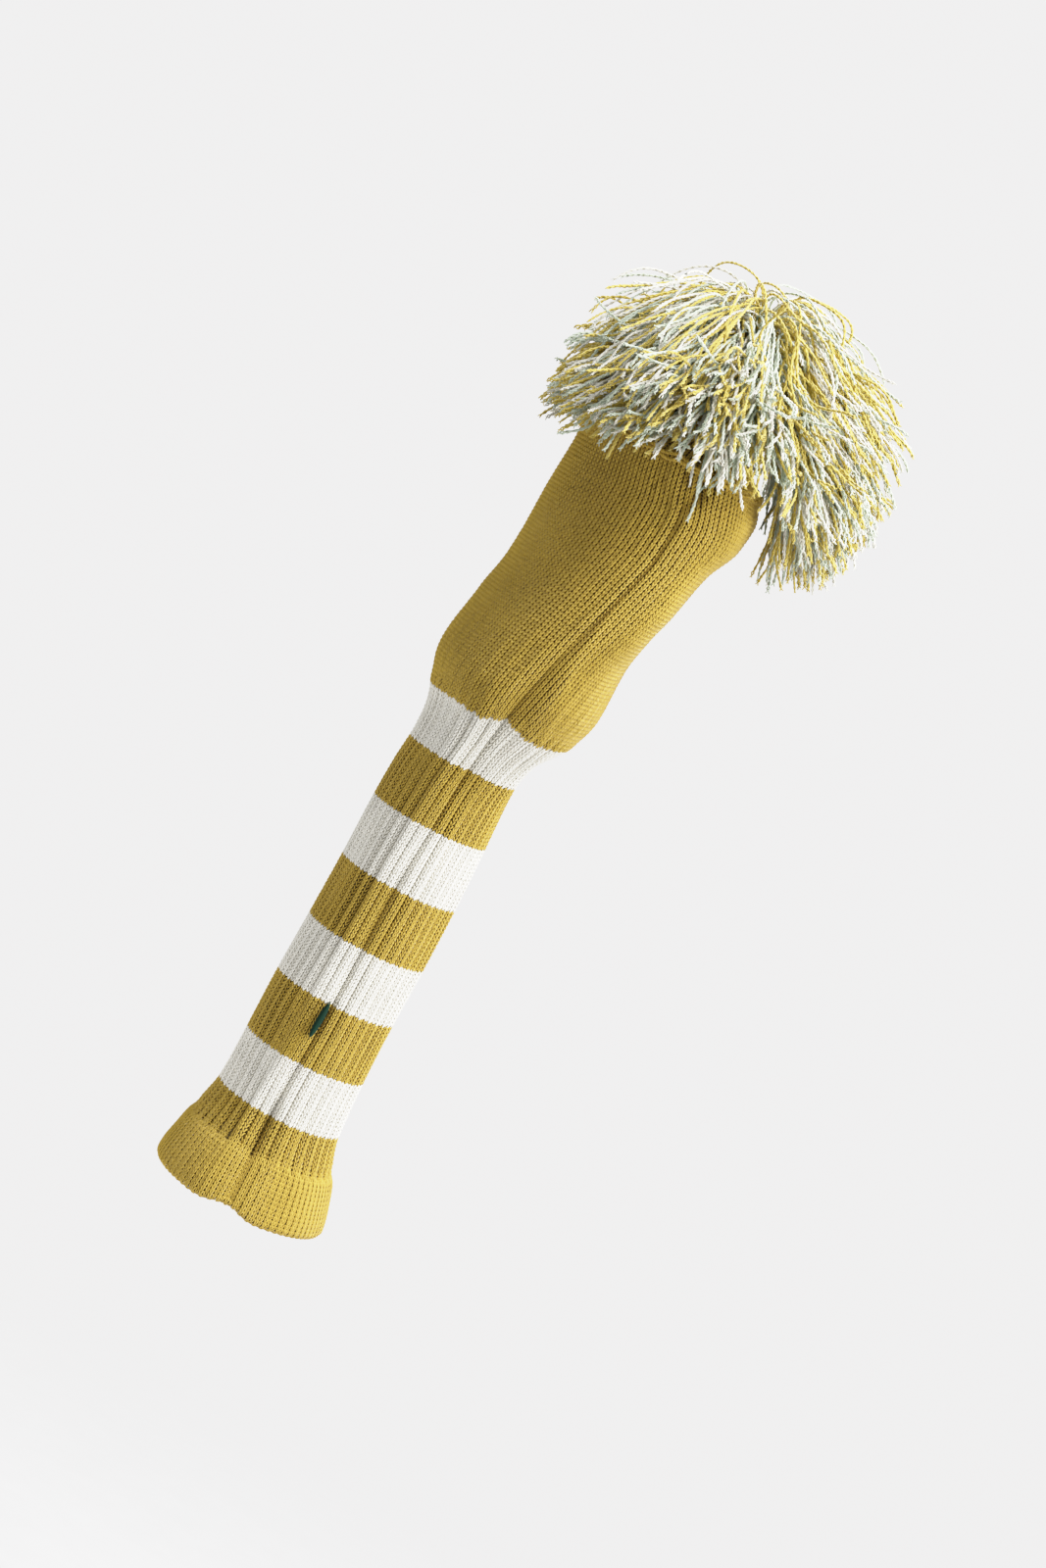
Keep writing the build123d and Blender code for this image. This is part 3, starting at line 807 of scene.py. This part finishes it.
def grow(way, rng):
    """Centre lines of the strands: straight out of the core, then each turning to where it settles."""
    count = len(way)
    right = way @ ASIDE
    length = rng.normal(STRAND_LENGTH, LENGTH_SPREAD, count) + LONGER_RIGHT * step_up(right, 0.3, 0.9)
    length = length - SHORTER_ACROSS * np.abs(way[:, 1]) ** 1.5 + LONGER_LEFT * left_front(way)
    step = length / (STRAND_POINTS - 1)
    chance = np.random.default_rng(5)
    lock = start_ways(LOCKS, chance)
    nearest = np.argmax(way @ lock.T, axis=1)
    pull, bend = resting(way)
    pull = pull + chance.normal(0, 0.16, (LOCKS, 3))[nearest] + rng.normal(0, 0.12, (count, 3))
    pull /= np.linalg.norm(pull, axis=1, keepdims=True)
    bend = bend * chance.uniform(0.85, 1.25, LOCKS)[nearest] * np.exp(rng.normal(0, 0.12, count))
    gap = rng.uniform(1.2, 9.0, count)
    stray = np.where((rng.random(count) < STRAY_SHARE) & (way[:, 2] < 0.45), STRAY_CURL, 1.0)
    curl = rng.normal(0, 1, (count, 3)) * (CURL * stray)[:, None]
    lean = rng.normal(0, 1, (count, 3)) * 0.03
    point = CORE + way * CORE_RADIUS
    heading = way.copy()
    line = [point]
    for index in range(1, STRAND_POINTS):
        run = index * step
        soft = step_up(run, STIFF_ROOT * 0.3, STIFF_ROOT * 1.5)
        turn = pull - heading * (heading * pull).sum(1)[:, None]
        turn = turn * (bend * soft)[:, None] + curl * soft[:, None] + 0.012 * (lock[nearest] - way)
        turn = turn + lean * np.sin(run / 7.0 + nearest)[:, None]
        heading = heading + turn * step[:, None]
        heading /= np.linalg.norm(heading, axis=1, keepdims=True)
        moved = push_off(point + heading * step[:, None], gap)
        heading = moved - point
        heading /= np.linalg.norm(heading, axis=1, keepdims=True)
        point = point + heading * step[:, None]
        line.append(point)
    line = np.stack(line, 1)
    for axis, part in enumerate(OUTLINE):
        line[..., axis] = squeezed(line[..., axis] - CORE[axis], *part) + CORE[axis]
    return line


def squeezed(value, low, high, room):
    """Packs what lies beyond low or high into the room there, so that the ball's outline stays round."""
    over = np.maximum(value - high, 0)
    under = np.maximum(low - value, 0)
    return np.clip(value, low, high) + room * (np.tanh(over / room) - np.tanh(under / room))


def plied(lines, rng):
    """Two plies twisted round each centre line, fraying apart at the cut end."""
    count = len(lines)
    along = np.gradient(lines, axis=1)
    run = np.cumsum(np.linalg.norm(along, axis=2), axis=1)
    along /= np.maximum(np.linalg.norm(along, axis=2, keepdims=True), 1e-9)
    aside = np.cross(along, np.array([0.31, 0.77, 0.55]))
    aside /= np.maximum(np.linalg.norm(aside, axis=2, keepdims=True), 1e-9)
    facing = np.cross(along, aside)
    end = run[:, -1:] - run
    fray = 1 + 1.3 * np.exp(-end / 2.5) * rng.uniform(0.2, 1.4, (count, 1))
    turn = 2 * math.pi * run / (PLY_TURN * rng.normal(1, 0.08, (count, 1)))
    turn = turn + rng.uniform(0, 6.28, (count, 1))
    radius = PLY_RADIUS * rng.normal(1, 0.07, (count, 1))
    radius = radius * (1 + 0.08 * np.sin(run / 2.3 + 9 * rng.random((count, 1))))
    radius = radius * np.where(end < 0.3, 0.55, 1)
    made = []
    for half in (0, math.pi):
        swing = np.cos(turn + half)[..., None] * aside + np.sin(turn + half)[..., None] * facing
        made.append(lines + swing * (0.85 * PLY_RADIUS * fray)[..., None])
    both = np.concatenate(made)
    return tubes(both, np.concatenate([radius, radius]), np.concatenate([facing, facing]), PLY_SIDES)


# The strands that lie over the cover, in pieces by the side that they hang to. Each side: which strands, the
# bodies that they cross between, and the two points, in metres, where the crossing starts and ends
Drape = namedtuple("Drape", "name towards bodies start end")
DRAPES = [
    Drape("left", (-1.0, 0.0), ("cover", "tie"), (-0.032, 0.0, 0.41), (0.016, 0.0, 0.41)),
    Drape("right", (1.0, 0.0), ("cover", "tie"), (0.072, 0.0, 0.40), (0.038, 0.0, 0.40)),
    Drape("front", (0.0, -1.0), ("tie", "pom"), (0.025, -0.055, 0.41), (0.025, -0.012, 0.41)),
    Drape("back", (0.0, 1.0), ("tie", "pom"), (0.025, 0.055, 0.41), (0.025, 0.012, 0.41)),
]


def pom():
    rng = np.random.default_rng(21)
    way = start_ways(STRANDS, rng)
    lines = grow(way, rng)
    colour = rng.choice(3, STRANDS, p=(0.42, 0.27, 0.31))
    near = cover_shape(lines[:, STRAND_POINTS // 3:]).min(axis=1)
    tip = lines[:, -1] - CORE
    weight = np.array([1.4, 1.4, 1.0, 1.0])
    side = np.argmax(weight * (tip[:, :2] @ np.array([drape.towards for drape in DRAPES]).T), axis=1)
    draped = ((near < 30.0) & (way[:, 2] < 0.4)) | (near < 12.0) | (way[:, 2] < 0.1)
    tier = np.where(way[:, 2] > 0.7, "upper", "lower")
    for number, name in enumerate(YARNS):
        for part in ("upper", "lower"):
            chosen = (colour == number) & (tier == part) & ~draped
            points, quads = plied(lines[chosen], rng)
            piece = mesh_object(f"strands_{name}_{part}", points, quads, YARNS[name])
            placed(piece, "pom", f"{name}_yarn", f"pom_{name}_{part}")
        for index, drape in enumerate(DRAPES):
            chosen = (colour == number) & draped & (side == index)
            points, quads = plied(lines[chosen], rng)
            piece = mesh_object(f"strands_{name}_{drape.name}", points, quads, YARNS[name])
            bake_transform(piece)
            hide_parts(f"pom_{name}_hanging")


pom()
neck_elastics()
lining()
side_seam()
hem_threads()
crown()
pom_core()
label()

# ---------------------------------------------------------------- studio

UP = Vector((-0.471, 0.0, 0.882))
TARGET = Vector((0.025, 0.0, 0.222))

Light = namedtuple("Light", "name across deep up far power size")
LIGHTS = [
    Light("overhead", 0.35, -0.27, 0.9, 1.5, 58.0, 0.5),
    Light("side", 0.82, -0.5, 0.27, 1.5, 32.0, 0.7),
    Light("fill", -0.72, -0.6, -0.35, 1.0, 3.2, 0.6),
    Light("back", -0.3, 0.85, 0.45, 1.5, 14.0, 0.8),
]
CAMERA = Vector((0.025, -2.29, 0.403))
LENS = 118.5
AROUND = 0.44
FLOOR = -260.0
FLOOR_RADIUS = 900.0
FLOOR_RINGS = 24
FLOOR_SIDES = 96


def aim(made, place, target, up):
    back = (place - target).normalized()
    across = up.cross(back).normalized()
    turn = Matrix((across, back.cross(across), back)).transposed()
    made.matrix_world = Matrix.Translation(place) @ turn.to_4x4()


def soft_light(name, place, power, size):
    data = bpy.data.lights.new(name, "AREA")
    data.shape = "DISK"
    data.size = size
    data.energy = power
    made = bpy.data.objects.new(name, data)
    bpy.context.scene.collection.objects.link(made)
    aim(made, place, TARGET, UP)


def soften(view):
    """A shoulder on the highlights, as film has, so that white wool keeps its shading."""
    view.use_curve_mapping = True
    mapping = view.curve_mapping
    mapping.white_level = (2.0, 2.0, 2.0)
    curve = mapping.curves[3]
    curve.points[1].location = (1.0, 0.95)
    for bright, shown in ((0.2, 0.4), (0.35, 0.62), (0.5, 0.78), (0.7, 0.88)):
        curve.points.new(bright, shown)
    mapping.update()


def floor():
    """A pale round floor under the open end, which fades out at its edge."""
    turn = np.arange(FLOOR_SIDES) * 2 * math.pi / FLOOR_SIDES
    rings = np.linspace(0.01, FLOOR_RADIUS, FLOOR_RINGS)
    level = np.full((FLOOR_RINGS, FLOOR_SIDES), FLOOR)
    points = np.stack([np.outer(rings, np.cos(turn)), np.outer(rings, np.sin(turn)), level], -1)
    material, tree, shader = new_material("floor")
    shader.inputs["Roughness"].default_value = 0.9
    shader.inputs["Specular IOR Level"].default_value = 0.1
    tone = mixed(tree, ramp(tree, noise(tree, 40, 3), 0.3, 0.7), (0.62, 0.615, 0.615), (0.65, 0.645, 0.645))
    tree.links.new(tone, shader.inputs["Base Color"])
    place = tree.nodes["Texture Coordinate"]
    length = tree.nodes.new("ShaderNodeVectorMath")
    length.operation = "LENGTH"
    tree.links.new(place.outputs["Object"], length.inputs[0])
    tree.links.new(ramp(tree, length.outputs["Value"], 0.92, 0.45), shader.inputs["Alpha"])
    made = mesh_object("floor", points.reshape(-1, 3), grid_quads(FLOOR_RINGS, FLOOR_SIDES), material)


def studio():
    scene = bpy.context.scene
    lens = bpy.data.cameras.new("camera")
    lens.sensor_fit = "VERTICAL"
    lens.sensor_height = 36.0
    lens.lens = LENS
    camera = bpy.data.objects.new("camera", lens)
    scene.collection.objects.link(camera)
    scene.camera = camera
    aim(camera, CAMERA, TARGET, UP)
    for light in LIGHTS:
        way = Vector((light.across, light.deep, light.up)).normalized()
        soft_light(light.name, TARGET + way * light.far, light.power, light.size)
    world = bpy.data.worlds.new("studio")
    world.use_nodes = True
    tree = world.node_tree
    seen = tree.nodes["Background"]
    seen.inputs["Color"].default_value = (1.36, 1.34, 1.34, 1)
    around = node(tree, "ShaderNodeBackground", Color=(0.97, 0.98, 1.0, 1), Strength=AROUND)
    path = tree.nodes.new("ShaderNodeLightPath")
    either = tree.nodes.new("ShaderNodeMixShader")
    tree.links.new(path.outputs["Is Camera Ray"], either.inputs[0])
    tree.links.new(around.outputs[0], either.inputs[1])
    tree.links.new(seen.outputs[0], either.inputs[2])
    tree.links.new(either.outputs[0], tree.nodes["World Output"].inputs["Surface"])
    scene.world = world
    scene.view_settings.view_transform = "Standard"
    soften(scene.view_settings)


studio()
floor()
